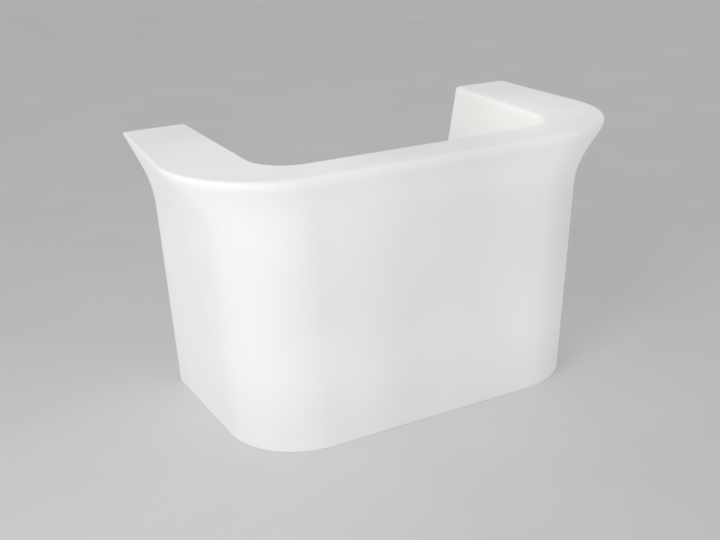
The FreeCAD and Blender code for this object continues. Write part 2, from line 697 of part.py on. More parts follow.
def inlet_pins():
    floor = INLET_FLANGE_HEIGHT - INLET_CAVITY_DEPTH
    places = ((-PIN_SPACING / 2, 0), (0, PIN_STEP), (PIN_SPACING / 2, 0))
    return [box(PIN_THICKNESS, PIN_WIDTH, floor + PIN_LENGTH, floor, x, y) for x, y in places]


def supply_windows():
    """Cut-outs in the front cover for the switch and the inlet."""
    gap = 2 * SEAT_CLEARANCE
    switch_length = SWITCH_WINDOW_LENGTH + 2 * SWITCH_WALL + gap
    switch_width = SWITCH_WINDOW_WIDTH + 2 * SWITCH_WALL + gap
    inlet_length = INLET_CAVITY_LENGTH + 2 * INLET_WALL + gap
    inlet_height = INLET_CAVITY_HEIGHT + 2 * INLET_WALL + gap
    switch = box(switch_width, switch_length, 0, -COVER_THICKNESS, -SWITCH_OFFSET, -BATTEN_OFFSET)
    inlet = box(inlet_length, inlet_height, 0, -COVER_THICKNESS, INLET_OFFSET, -BATTEN_OFFSET)
    return [switch, inlet]


def build_supply(hatches):
    places = {name: place for name, place, length in hatches}
    front = places["front"]
    at_switch = FreeCAD.Placement(FreeCAD.Vector(-SWITCH_OFFSET, -BATTEN_OFFSET, 0), FreeCAD.Rotation())
    at_inlet = FreeCAD.Placement(FreeCAD.Vector(INLET_OFFSET, -BATTEN_OFFSET, 0), FreeCAD.Rotation())
    pieces = {
        "supply_box": [supply_box()],
        "driver_module": [driver_module()],
        "terminal_block": [terminal_block()],
        "lead_glands": lead_glands(),
        "lead_front": [front_lead()],
        "switch_frame": [placed(switch_frame(), at_switch)],
        "switch_rocker": [placed(switch_rocker(), at_switch)],
        "switch_blades": [placed(blade, at_switch) for blade in switch_blades()],
        "inlet_socket": [placed(inlet_socket(), at_inlet)],
        "inlet_pins": [placed(pin, at_inlet) for pin in inlet_pins()],
    }
    for piece, shapes in pieces.items():
        export(piece, [placed(shape, front) for shape in shapes])
    on_front, on_arm = clip_reach(front, places["right"])
    clips = []
    for name, side in SIDES:
        export("lead_" + name, [arm_lead(front, places[name], side)])
        clips.append(placed(lead_clip(-side * on_front), front))
        clips.append(placed(lead_clip(side * on_arm), places[name]))
    export("lead_clips", clips)


# Levelling feet

def foot_places():
    """Name and plan position of each foot, on the middle line of the base."""
    middle_x = (BASE_WIDTH / 2 + bay_half_at(0)) / 2
    middle_y = (BASE_FRONT_Y + bay_front_at(0)) / 2
    places = []
    for name, side in SIDES:
        places.append((name + "_back", side * middle_x, BACK_Y - FOOT_END_INSET))
        places.append((name + "_front", side * middle_x, middle_y))
    return places


def foot_cuts(x, y):
    """Pocket, insert bore and room for the stem, taken out of the base."""
    pocket = box(POCKET_WIDTH, POCKET_WIDTH, POCKET_DEPTH, -OVERRUN, x, y)
    bore = hexagon(FOOT_INSERT_RADIUS + SEAT_CLEARANCE, POCKET_DEPTH + FOOT_INSERT_LENGTH, 0, x, y)
    room = hexagon((STEM_RADIUS + RUNNING_CLEARANCE) / HEX_FLAT_SHARE, STEM_TOP + RUNNING_CLEARANCE, 0, x, y)
    return pocket.fuse([bore, room])


def foot_walls(x, y):
    """Solid plastic kept round the pocket and the insert."""
    width = POCKET_WIDTH + 2 * WALL
    top = max(STEM_TOP, POCKET_DEPTH + FOOT_INSERT_LENGTH) + FOOT_BOSS_WALL
    boss = hexagon(FOOT_INSERT_RADIUS + FOOT_BOSS_WALL, top, 0, x, y)
    return box(width, width, POCKET_DEPTH + WALL, 0, x, y).fuse(boss)


def foot_insert(x, y):
    sleeve = hexagon(FOOT_INSERT_RADIUS, POCKET_DEPTH + FOOT_INSERT_LENGTH, POCKET_DEPTH, x, y)
    return sleeve.cut(hexagon((STEM_RADIUS + RUNNING_CLEARANCE) / HEX_FLAT_SHARE, STEM_TOP, 0, x, y))


def foot_stem(x, y):
    return rod(STEM_RADIUS, STEM_TOP, PAD_TOP, x, y)


def foot_pad(x, y):
    """Six-sided pad that a spanner can turn, with a hub that the stem stands on."""
    sole = PAD_CLEAR_OF_FLOOR + PAD_HEIGHT
    pad = hexagon(PAD_RADIUS, sole, PAD_CLEAR_OF_FLOOR, x, y)
    return pad.fuse(hexagon(PAD_HUB_RADIUS, PAD_TOP, sole, x, y))


def build_feet():
    for name, x, y in foot_places():
        export("foot_stem_" + name, [foot_stem(x, y)])
        export("foot_pad_" + name, [foot_pad(x, y)])
    export("foot_inserts", [foot_insert(x, y) for name, x, y in foot_places()])


def main():
    os.makedirs("parts", exist_ok=True)
    hatches = hatch_places()
    build_shell(hatches)
    build_hatches(hatches)
    build_supply(hatches)
    build_feet()


main()
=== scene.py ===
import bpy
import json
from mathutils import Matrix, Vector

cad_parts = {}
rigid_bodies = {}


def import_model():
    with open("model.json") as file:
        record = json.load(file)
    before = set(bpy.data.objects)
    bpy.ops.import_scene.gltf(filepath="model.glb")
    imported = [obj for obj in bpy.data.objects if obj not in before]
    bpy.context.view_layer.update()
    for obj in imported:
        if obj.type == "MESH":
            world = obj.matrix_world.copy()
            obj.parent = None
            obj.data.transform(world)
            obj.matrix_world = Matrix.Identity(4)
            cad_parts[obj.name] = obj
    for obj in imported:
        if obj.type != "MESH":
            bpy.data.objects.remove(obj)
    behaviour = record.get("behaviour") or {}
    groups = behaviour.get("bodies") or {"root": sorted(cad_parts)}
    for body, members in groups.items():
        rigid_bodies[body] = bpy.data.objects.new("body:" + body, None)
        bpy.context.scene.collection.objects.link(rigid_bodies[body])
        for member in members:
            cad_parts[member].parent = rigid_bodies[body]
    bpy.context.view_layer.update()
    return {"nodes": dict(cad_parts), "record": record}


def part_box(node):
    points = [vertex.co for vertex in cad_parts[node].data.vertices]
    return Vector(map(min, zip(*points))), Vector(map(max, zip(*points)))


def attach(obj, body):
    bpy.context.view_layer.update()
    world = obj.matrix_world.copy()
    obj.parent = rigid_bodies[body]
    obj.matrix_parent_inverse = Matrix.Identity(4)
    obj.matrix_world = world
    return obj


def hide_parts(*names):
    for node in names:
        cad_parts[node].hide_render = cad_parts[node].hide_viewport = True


bl_info = {
    "name": "Illuminated bar counter",
    "version": (1, 0, 0),
    "blender": (4, 5, 0),
    "location": "3D View > Sidebar > Counter",
    "description": "Dresses a moulded, lit bar counter: its glowing shell, hatches, switch, inlet and feet",
    "category": "Object",
}

import json
import math

import bmesh
import bpy
from bpy.props import FloatProperty, FloatVectorProperty, IntProperty, PointerProperty
from mathutils import Matrix, Vector

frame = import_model()
SHELL_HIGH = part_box("counter_shell")[1]
HEIGHT = SHELL_HIGH.z
BACK_Y = SHELL_HIGH.y
DEPTH = 2 * BACK_Y
SIDES = (("left", -1), ("right", 1))
HATCHES = ("front", "left", "right")
FEET = ("left_back", "left_front", "right_back", "right_front")
BODY = "counter"


# Settings a user would change

def length(name, default, description):
    """A size in metres, as a setting."""
    return FloatProperty(name=name, default=default, description=description, unit="LENGTH", precision=4)


class ShellSettings(bpy.types.PropertyGroup):
    """Sizes of the counter's moulding."""
    base_width: length("Base width", 1.506, "Width over the arms at the floor")
    side_draft: length("Side draft", 0.045, "How far each side leans out by the top, before the lip")
    front_draft: length("Front draft", 0.030, "How far the front leans out by the top, before the lip")
    corner_radius: length("Corner radius", 0.296, "Radius of the two front corners at the floor")
    lip_ends: length("Lip at arm ends", 0.090, "Overhang of the lip at the back ends of the arms")
    lip_front_line: length("Lip at front line", 0.2028, "Overhang of the side lip carried to the front line")
    lip_front: length("Lip at front", 0.0724, "Overhang of the lip along the front")
    lip_corner: length("Lip corner growth", 0.120, "How much the corner radius grows up to the lip")
    arm_flare: length("Arm flare", 0.320, "Height of the flare below the top at the arm ends")
    front_flare: length("Front flare", 0.255, "Height of the flare below the top along the front")
    flare_blend: length("Flare blend", 0.190, "Height over which the wall curves into the flare")
    bay_width: length("Bay width", 1.272, "Width of the serving bay at the top")
    front_band: length("Front band", 0.170, "Depth of the counter top along the front")
    bay_lean: length("Bay lean", 0.205, "How far the bay walls lean over the full height")
    bay_radius: length("Bay radius", 0.155, "Radius of the bay's corners")
    arm_edge: length("Arm edge", 0.012, "Rounding of the arms' upright back edges")
    top_edge: length("Top edge", 0.009, "Rounding of the top at the arm ends and round the bay")
    lip_roll: length("Lip roll", 0.045, "Rounding of the lip along the front and its corners")
    base_edge: length("Base edge", 0.008, "Rounding at the floor")
    # Glow sets the strength of the painted glow, an emission on the shell standing in for the lamps' light
    # through the wall
    glow: FloatProperty(name="Glow", default=0.403, description="Strength of light through the wall", min=0)
    edge_steps: IntProperty(name="Edge steps", default=5, description="Steps round each rounded edge", min=2)
    wall_steps: IntProperty(name="Wall steps", default=14, description="Steps up the plain wall", min=4)
    roll_steps: IntProperty(name="Roll steps", default=12, description="Steps round the lip's roll", min=4)
    flare_steps: IntProperty(name="Flare steps", default=16, description="Steps up the flare's curve", min=4)


class FittingSettings(bpy.types.PropertyGroup):
    """Sizes of what is let into the moulding."""
    hatch_height: length("Hatch height", 0.550, "Height of the hatches' middles")
    front_cover: length("Front cover", 0.620, "Length of the front cover")
    arm_cover: length("Arm cover", 0.340, "Length of each arm cover")
    cover_height: length("Cover height", 0.220, "Height of the covers")
    cover_radius: length("Cover radius", 0.024, "Radius of the covers' corners")
    cover_gap: length("Cover gap", 0.0015, "Gap round each cover")
    seat: length("Hatch seat", 0.024, "Width of the ledge that a cover sits on")
    recess: length("Recess", 0.007, "Depth of the ledge")
    inner_room: length("Inner room", 0.110, "Depth behind the hatch for lamps and supply")
    edge: length("Edge", 0.0012, "Softened edge of the covers and feet")
    fine_edge: length("Fine edge", 0.0006, "Softened edge of the switch and inlet")
    blade_edge: length("Blade edge", 0.0004, "Softened edge of the inlet's blades")
    screw_inset: length("Screw inset", 0.060, "Distance of the screws from the ends of a cover")
    screw_radius: length("Screw head radius", 0.006, "Radius of the screw heads")
    screw_rise: length("Screw head height", 0.0035, "Height of the screw heads")
    shank_radius: length("Shank radius", 0.003, "Radius of the screws")
    shank_length: length("Shank length", 0.021, "Length of the screws under the head")
    pocket_width: length("Pocket width", 0.062, "Width of the pockets that take the feet")
    pocket_depth: length("Pocket depth", 0.022, "Depth of the pockets that take the feet")
    stem_room: length("Stem room", 0.012, "Width of the room round a foot's stem")
    stem_depth: length("Stem depth", 0.066, "Height of that room above the floor")
    mark_size: length("Mark size", 0.0052, "Height of the marks on the rocker")
    mark_stroke: length("Mark stroke", 0.0009, "Width of the marks' strokes")
    mark_rise: length("Mark rise", 0.0001, "How far the marks stand out of the rocker")


class StageSettings(bpy.types.PropertyGroup):
    """Camera, light and floor."""
    camera_place: FloatVectorProperty(
        name="Camera", default=(-2.1308, -3.8370, 2.2081), description="Place of the camera",
        subtype="TRANSLATION", size=3)
    camera_turn: FloatProperty(
        name="Turn", default=math.radians(32.22), description="Turn of the camera to the right",
        subtype="ANGLE")
    camera_dip: FloatProperty(
        name="Dip", default=math.radians(22.32), description="Dip of the camera below level", subtype="ANGLE")
    focal_pixels: FloatProperty(name="Focal length", default=1146.6, description="Focal length in pixels")
    centre_x: FloatProperty(name="Centre X", default=445.6, description="Pixel that the camera faces, across")
    centre_y: FloatProperty(name="Centre Y", default=290.7, description="Pixel that the camera faces, down")
    floor_reach: length("Floor reach", 60.0, "Distance from the middle to the floor's edges")
    floor_colour: FloatVectorProperty(
        name="Floor", default=(0.80, 0.80, 0.80), description="Colour of the floor",
        subtype="COLOR", size=3, min=0, max=1)
    lamp_place: FloatVectorProperty(
        name="Lamp", default=(-4.4, -2.5, 1.9), description="Place of the lamp",
        subtype="TRANSLATION", size=3)
    lamp_aim: FloatVectorProperty(
        name="Lamp aim", default=(0.0, -0.1, 0.8), description="Point that the lamp faces",
        subtype="TRANSLATION", size=3)
    lamp_side: length("Lamp side", 2.4, "Side of the square lamp")
    lamp_spread: FloatProperty(
        name="Lamp spread", default=math.radians(90), description="Spread of the lamp's light",
        subtype="ANGLE")
    lamp_watts: FloatProperty(name="Lamp power", default=24.5, description="Power of the lamp", min=0)
    backdrop: FloatProperty(
        name="Backdrop", default=0.42, description="Tone seen past the floor's edge", min=0, max=1)
    sky_strength: FloatProperty(name="Sky", default=0.53, description="Strength of light all round", min=0)


# Picture and camera

PICTURE_WIDTH = 720
PICTURE_HEIGHT = 540
SENSOR_WIDTH = 36.0


# Finishes

def add(nodes, kind, **values):
    """A new node with its settings and unlinked inputs set by name."""
    node = nodes.new(kind)
    for key, value in values.items():
        if key in node.inputs:
            node.inputs[key].default_value = value
        else:
            setattr(node, key, value)
    return node


def start_finish(name):
    """An empty node material with its shader, and the object's own coordinates."""
    finish = bpy.data.materials.new(name)
    finish.use_nodes = True
    nodes = finish.node_tree.nodes
    shader = nodes["Principled BSDF"]
    place = add(nodes, "ShaderNodeTexCoord")
    return finish, nodes, finish.node_tree.links, shader, place.outputs["Object"]


# Values between which the noise mostly lies
NOISE_LOW = 0.3
NOISE_HIGH = 0.7


def noise_range(nodes, links, place, scale, low, high, detail=4.0):
    """Noise stretched between two values."""
    noise = add(nodes, "ShaderNodeTexNoise", Scale=scale, Detail=detail)
    links.new(place, noise.inputs["Vector"])
    span = add(nodes, "ShaderNodeMapRange")
    span.inputs["From Min"].default_value = NOISE_LOW
    span.inputs["From Max"].default_value = NOISE_HIGH
    span.inputs["To Min"].default_value = low
    span.inputs["To Max"].default_value = high
    links.new(noise.outputs["Fac"], span.inputs["Value"])
    return span.outputs["Result"]


def colour_between(nodes, links, factor, dark, light):
    """A colour that runs from dark to light with a factor from 0 to 1."""
    mix = add(nodes, "ShaderNodeMix", data_type="RGBA")
    mix.inputs[6].default_value = (*dark, 1.0)
    mix.inputs[7].default_value = (*light, 1.0)
    links.new(factor, mix.inputs[0])
    return mix.outputs[2]


# How much finer than the tones the roughness and the bumps of a grained finish are, and the bumps' depth
ROUGH_FINER = 3
BUMP_FINER = 8
BUMP_DEPTH = 0.0004


def plain_finish(name, dark, light, scale, rough, bump, metal=0.0):
    """Finish with a fine grain: colour, roughness and a slight bump all vary over the surface."""
    finish, nodes, links, shader, place = start_finish(name)
    shader.inputs["Metallic"].default_value = metal
    tone = noise_range(nodes, links, place, scale, 0.0, 1.0)
    links.new(colour_between(nodes, links, tone, dark, light), shader.inputs["Base Color"])
    links.new(noise_range(nodes, links, place, scale * ROUGH_FINER, *rough), shader.inputs["Roughness"])
    grain = add(nodes, "ShaderNodeBump", Strength=bump, Distance=BUMP_DEPTH)
    links.new(noise_range(nodes, links, place, scale * BUMP_FINER, 0.0, 1.0), grain.inputs["Height"])
    links.new(grain.outputs["Normal"], shader.inputs["Normal"])
    return finish


def ramp(nodes, links, value, start, end, low, high):
    """A smooth run from low to high as a value passes from start to end."""
    span = add(nodes, "ShaderNodeMapRange", interpolation_type="SMOOTHSTEP")
    span.inputs["From Min"].default_value = start
    span.inputs["From Max"].default_value = end
    span.inputs["To Min"].default_value = low
    span.inputs["To Max"].default_value = high
    links.new(value, span.inputs["Value"])
    return span.outputs["Result"]


def product(nodes, links, first, *others):
    """Several values multiplied."""
    for other in others:
        times = add(nodes, "ShaderNodeMath", operation="MULTIPLY")
        links.new(first, times.inputs[0])
        links.new(other, times.inputs[1])
        first = times.outputs["Value"]
    return first


# Painted glow through the moulding, an emission standing in for the light of the lamps inside: a distance in
# metres from and to, and the share of the light there
FLOOR_LIGHT = (0.0, 0.35, 0.63, 0.77)
MIDDLE_LIGHT = (0.10, 0.45, 0.84, 1.0)
ARM_LIGHT = (0.50, 0.75, 1.0, 0.88)
LIP_LIGHT = (0.82, 1.0, 0.88, 1.0)
TOP_LIGHT = (1.06, 1.10, 1.0, 1.12)
CORNER_LIGHT = (0.10, 0.45, 1.16, 1.0)
CORNER_PLACE = (0.60, -0.08, 1.04)
THICKNESS_LIGHT = (0.95, 1.0)

# Tones of the moulding and of its painted glow, and the size of its clouds and of its fine texture
SHELL_TONES = ((0.70, 0.695, 0.685), (0.74, 0.735, 0.725))
LIGHT_TONES = ((0.0, 0.0, 0.0), (1.0, 0.985, 0.96))
SHELL_ROUGHNESS = (0.40, 0.52)
CLOUD_SCALE = 2.2
CLOUD_DETAIL = 2.0
ROUGH_SCALE = 60.0
TEXTURE_SCALE = 340.0
TEXTURE_DETAIL = 3.0


def painted_glow_moulding(glow):
    """Plastic with a painted glow, an emission standing in for the light of the lamps inside: dim at the
    floor and in the middle, bright at the bay's corners.
    """
    finish, nodes, links, shader, place = start_finish("painted_glow_moulding")
    cloud = noise_range(nodes, links, place, CLOUD_SCALE, 0.0, 1.0, CLOUD_DETAIL)
    links.new(colour_between(nodes, links, cloud, *SHELL_TONES), shader.inputs["Base Color"])
    links.new(noise_range(nodes, links, place, ROUGH_SCALE, *SHELL_ROUGHNESS), shader.inputs["Roughness"])
    split = add(nodes, "ShaderNodeSeparateXYZ")
    links.new(place, split.inputs["Vector"])
    height = split.outputs["Z"]
    absolute = add(nodes, "ShaderNodeMath", operation="ABSOLUTE")
    links.new(split.outputs["X"], absolute.inputs[0])
    aside = absolute.outputs["Value"]
    mirrored = add(nodes, "ShaderNodeCombineXYZ")
    links.new(aside, mirrored.inputs["X"])
    links.new(split.outputs["Y"], mirrored.inputs["Y"])
    links.new(height, mirrored.inputs["Z"])
    away = add(nodes, "ShaderNodeVectorMath", operation="DISTANCE")
    links.new(mirrored.outputs["Vector"], away.inputs[0])
    away.inputs[1].default_value = CORNER_PLACE
    runs = ((height, FLOOR_LIGHT), (aside, MIDDLE_LIGHT), (aside, ARM_LIGHT), (height, LIP_LIGHT),
            (height, TOP_LIGHT), (away.outputs["Value"], CORNER_LIGHT))
    shares = [ramp(nodes, links, value, *run) for value, run in runs]
    # The painted glow is made a little uneven, in soft clouds
    painted_glow_mottle = noise_range(nodes, links, place, CLOUD_SCALE, *THICKNESS_LIGHT, CLOUD_DETAIL)
    light = product(nodes, links, *shares, painted_glow_mottle)
    # The painted glow goes into the emission: the shell shines though it is no lamp
    links.new(colour_between(nodes, links, light, *LIGHT_TONES), shader.inputs["Emission Color"])
    shader.inputs["Emission Strength"].default_value = glow
    texture = add(nodes, "ShaderNodeBump", Strength=0.12, Distance=0.0006)
    fine = noise_range(nodes, links, place, TEXTURE_SCALE, 0.0, 1.0, TEXTURE_DETAIL)
    links.new(fine, texture.inputs["Height"])
    links.new(texture.outputs["Normal"], shader.inputs["Normal"])
    return finish


def brushed_aluminium():
    """Extruded aluminium with fine lines along its length."""
    finish, nodes, links, shader, place = start_finish("brushed_aluminium")
    shader.inputs["Metallic"].default_value = 1.0
    lines = add(nodes, "ShaderNodeMapping")
    lines.inputs["Scale"].default_value = (4.0, 4.0, 900.0)
    links.new(place, lines.inputs["Vector"])
    tone = noise_range(nodes, links, lines.outputs["Vector"], 1.0, 0.0, 1.0)
    colour = colour_between(nodes, links, tone, (0.66, 0.67, 0.68), (0.80, 0.81, 0.82))
    links.new(colour, shader.inputs["Base Color"])
    links.new(noise_range(nodes, links, lines.outputs["Vector"], 2.0, 0.28, 0.42), shader.inputs["Roughness"])
    return finish


def threaded_steel():
    """Bright steel with a thread along Z."""
    finish, nodes, links, shader, place = start_finish("threaded_steel")
    shader.inputs["Metallic"].default_value = 1.0
    tone = noise_range(nodes, links, place, 90.0, 0.0, 1.0)
    colour = colour_between(nodes, links, tone, (0.50, 0.50, 0.50), (0.64, 0.64, 0.63))
    links.new(colour, shader.inputs["Base Color"])
    links.new(noise_range(nodes, links, place, 200.0, 0.22, 0.36), shader.inputs["Roughness"])
    thread = add(nodes, "ShaderNodeTexWave", bands_direction="Z", Scale=210.0)
    links.new(place, thread.inputs["Vector"])
    ridge = add(nodes, "ShaderNodeBump", Strength=0.8, Distance=0.001)
    links.new(thread.outputs["Fac"], ridge.inputs["Height"])
    links.new(ridge.outputs["Normal"], shader.inputs["Normal"])
    return finish


# Finishes as dark and light tones, grain scale, roughness from and to, bump and metal share
GRAINED = {
    "cover_plastic": ((0.76, 0.76, 0.75), (0.80, 0.80, 0.79), 140.0, (0.40, 0.52), 0.25, 0.0),
    "gasket_rubber": ((0.020, 0.020, 0.020), (0.035, 0.035, 0.035), 220.0, (0.70, 0.85), 0.30, 0.0),
    "stainless_steel": ((0.48, 0.48, 0.48), (0.62, 0.62, 0.61), 300.0, (0.20, 0.34), 0.10, 1.0),
    "insert_brass": ((0.52, 0.38, 0.16), (0.66, 0.50, 0.24), 260.0, (0.26, 0.40), 0.12, 1.0),
    "contact_brass": ((0.60, 0.50, 0.30), (0.74, 0.63, 0.38), 300.0, (0.18, 0.30), 0.08, 1.0),
    "bracket_steel": ((0.70, 0.70, 0.68), (0.76, 0.76, 0.74), 180.0, (0.45, 0.55), 0.30, 0.0),
    "strip_board": ((0.74, 0.74, 0.70), (0.80, 0.80, 0.76), 260.0, (0.30, 0.40), 0.10, 0.0),
    "diode_lens": ((0.80, 0.66, 0.22), (0.90, 0.78, 0.34), 400.0, (0.15, 0.25), 0.05, 0.0),
    "opal_plastic": ((0.78, 0.78, 0.77), (0.84, 0.84, 0.83), 120.0, (0.25, 0.35), 0.06, 0.0),
    "cap_plastic": ((0.60, 0.60, 0.59), (0.66, 0.66, 0.65), 200.0, (0.42, 0.52), 0.20, 0.0),
    "box_plastic": ((0.26, 0.27, 0.28), (0.31, 0.32, 0.33), 180.0, (0.45, 0.58), 0.30, 0.0),
    "driver_case": ((0.035, 0.036, 0.038), (0.055, 0.056, 0.058), 240.0, (0.40, 0.55), 0.30, 0.0),
    "terminal_plastic": ((0.025, 0.12, 0.055), (0.035, 0.16, 0.075), 240.0, (0.35, 0.45), 0.15, 0.0),
    "black_plastic": ((0.012, 0.012, 0.012), (0.022, 0.022, 0.022), 320.0, (0.38, 0.52), 0.25, 0.0),
    "clip_plastic": ((0.54, 0.54, 0.53), (0.60, 0.60, 0.59), 200.0, (0.40, 0.50), 0.15, 0.0),
    "lead_sheath": ((0.62, 0.62, 0.60), (0.68, 0.68, 0.66), 240.0, (0.48, 0.60), 0.15, 0.0),
    "rocker_plastic": ((0.010, 0.010, 0.010), (0.016, 0.016, 0.016), 200.0, (0.16, 0.24), 0.05, 0.0),
    "mark_white": ((0.70, 0.70, 0.69), (0.76, 0.76, 0.75), 500.0, (0.40, 0.50), 0.05, 0.0),
    "foot_plastic": ((0.018, 0.018, 0.018), (0.030, 0.030, 0.030), 220.0, (0.50, 0.65), 0.35, 0.0),
}


# Painted glow: a faint emission on the hatch covers, standing in for the light of the lamps behind them
PAINTED_COVER_GLOW = 0.10


def make_finishes(glow):
    """One finish for each material slot of the record, and those of the switch marks and the foot threads."""
    made = {name: plain_finish(name, *values) for name, values in GRAINED.items()}
    # The covers get their faint painted glow
    cover = made["cover_plastic"].node_tree.nodes["Principled BSDF"]
    cover.inputs["Emission Strength"].default_value = PAINTED_COVER_GLOW
    made["shell_plastic"] = painted_glow_moulding(glow)
    made["channel_aluminium"] = brushed_aluminium()
    made["foot_thread"] = threaded_steel()
    return made


finishes = {}


# Shared building steps

def piece(name, mesh, slot, body=BODY, replaces=(), finish=None):
    """A finished piece from a mesh: named, dressed, and set on the body that it moves with."""
    thing = bpy.data.objects.new(name, mesh)
    bpy.context.scene.collection.objects.link(thing)
    mesh.materials.clear()
    mesh.materials.append(finishes[finish or slot])
    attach(thing, body)
    if replaces:
        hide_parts(*replaces)
    return thing


def mesh_of(form, name):
    """A mesh from an edited form, with its faces turned outwards."""
    bmesh.ops.recalc_face_normals(form, faces=form.faces)
    mesh = bpy.data.meshes.new(name)
    form.to_mesh(mesh)
    form.free()
    return mesh


def shaped(mesh, name, *modifiers):
    """The mesh after some modifiers, each given as a kind and its settings."""
    carrier = bpy.data.objects.new(name, mesh)
    bpy.context.scene.collection.objects.link(carrier)
    for kind, settings in modifiers:
        modifier = carrier.modifiers.new(kind.lower(), kind)
        for key, value in settings.items():
            setattr(modifier, key, value)
    graph = bpy.context.evaluated_depsgraph_get()
    made = bpy.data.meshes.new_from_object(carrier.evaluated_get(graph))
    bpy.data.objects.remove(carrier)
    return made


def skinned(form, rings):
    """The form closed by faces between rings of its points and across the first and the last."""
    for lower, upper in zip(rings, rings[1:]):
        for index in range(len(lower)):
            form.faces.new((lower[index - 1], lower[index], upper[index], upper[index - 1]))
    form.faces.new(rings[0])
    form.faces.new(rings[-1])
    return form


MERGE_DISTANCE = 1e-6
FLAT_ANGLE = math.radians(0.5)
BEVEL_ANGLE = math.radians(32)
BEVEL_STEPS = 3


def merged(node):
    """A form of a CAD piece, with the triangles of each flat face joined."""
    form = bmesh.new()
    form.from_mesh(frame["nodes"][node].data)
    bmesh.ops.remove_doubles(form, verts=form.verts, dist=MERGE_DISTANCE)
    bmesh.ops.dissolve_limit(form, angle_limit=FLAT_ANGLE, verts=form.verts, edges=form.edges)
    return form


def softened(node, name, width):
    """A copy of a CAD piece with softened edges."""
    mesh = mesh_of(merged(node), name)
    mesh.shade_smooth()
    bevel = {"width": width, "segments": BEVEL_STEPS, "limit_method": "ANGLE", "angle_limit": BEVEL_ANGLE,
             "harden_normals": True, "use_clamp_overlap": True}
    return shaped(mesh, name, ("BEVEL", bevel))


# Counter shell

# Steps round the plan's corners and along the runs between them
EDGE_ARC = 6
FRONT_ARC = 40
BAY_ARC = 24
SIDE_RUN = 16
FRONT_RUN = 20
END_RUN = 6
BAY_SIDE_RUN = 12
BAY_FRONT_RUN = 18

SHELL_CREASE = math.radians(35)


def flare_share(z, drop, shell):
    """How much of the lip's overhang is reached at a height: a curve that runs into a straight slope."""
    run = drop - shell.flare_blend / 2
    rise = z - HEIGHT + drop
    if rise <= 0:
        return 0.0
    if rise <= shell.flare_blend:
        return rise ** 2 / (2 * shell.flare_blend * run)
    return (rise - shell.flare_blend / 2) / run


def base_front(shell):
    """Front line of the walls at the floor, worked back from the lip's nose."""
    run = shell.front_flare - shell.flare_blend / 2
    slope = shell.lip_front / run + shell.front_draft / HEIGHT
    nose_loss = shell.lip_roll * (1 + slope - math.hypot(1, slope))
    return shell.front_draft + shell.lip_front - nose_loss - DEPTH / 2


def bay_half_at(z, shell):
    return shell.bay_width / 2 - shell.bay_lean * (1 - z / HEIGHT)


def bay_front_at(z, shell):
    return shell.front_band - DEPTH / 2 + shell.bay_lean * (1 - z / HEIGHT)


def edge_inset(z, radius):
    """How far an edge rounded to a radius has drawn in at a height near the top."""
    climbed = max(z - HEIGHT + radius, 0.0)
    return radius - math.sqrt(max(radius ** 2 - climbed ** 2, 0.0))


def plan_corners(z, inset, front_inset, shell):
    """Corners of the U at a height, as place, radius and steps of the arc and of the run that follows."""
    flare = flare_share(z, shell.front_flare, shell)
    side = shell.base_width / 2 + shell.side_draft * z / HEIGHT
    end_half = side + shell.lip_ends * flare_share(z, shell.arm_flare, shell) - inset
    front_half = side + shell.lip_front_line * flare - front_inset
    front = base_front(shell) - shell.front_draft * z / HEIGHT - shell.lip_front * flare + front_inset
    back = BACK_Y - inset
    bay_half = bay_half_at(z, shell) + inset
    bay_front = bay_front_at(z, shell) - inset
    corner = shell.corner_radius + shell.lip_corner * flare - front_inset
    bay_corner = shell.bay_radius + inset
    edge = shell.arm_edge
    return [
        (Vector((end_half, back, z)), edge, EDGE_ARC, SIDE_RUN),
        (Vector((front_half, front, z)), corner, FRONT_ARC, FRONT_RUN),
        (Vector((-front_half, front, z)), corner, FRONT_ARC, SIDE_RUN),
        (Vector((-end_half, back, z)), edge, EDGE_ARC, END_RUN),
        (Vector((-bay_half, back, z)), edge, EDGE_ARC, BAY_SIDE_RUN),
        (Vector((-bay_half, bay_front, z)), bay_corner, BAY_ARC, BAY_FRONT_RUN),
        (Vector((bay_half, bay_front, z)), bay_corner, BAY_ARC, BAY_SIDE_RUN),
        (Vector((bay_half, back, z)), edge, EDGE_ARC, END_RUN),
    ]


def plan_ring(z, inset, front_inset, shell):
    """Points round the U at a height: an arc at each corner, and even steps along each run."""
    corners = plan_corners(z, inset, front_inset, shell)
    arcs = []
    for index, (corner, radius, steps, run_steps) in enumerate(corners):
        back = (corners[index - 1][0] - corner).normalized()
        ahead = (corners[(index + 1) % len(corners)][0] - corner).normalized()
        half = back.angle(ahead) / 2
        reach = radius / math.tan(half)
        centre = corner + (back + ahead).normalized() * (radius / math.sin(half))
        start = corner + back * reach - centre
        axis = back.cross(ahead).normalized()
        sweep = math.pi - 2 * half
        turns = [Matrix.Rotation(-sweep * step / steps, 3, axis) for step in range(steps + 1)]
        arcs.append(([centre + turn @ start for turn in turns], run_steps))
    ring = []
    for index, (points, run_steps) in enumerate(arcs):
        ring += points
        end = arcs[(index + 1) % len(arcs)][0][0]
        ring += [points[-1].lerp(end, step / run_steps) for step in range(1, run_steps)]
    return ring


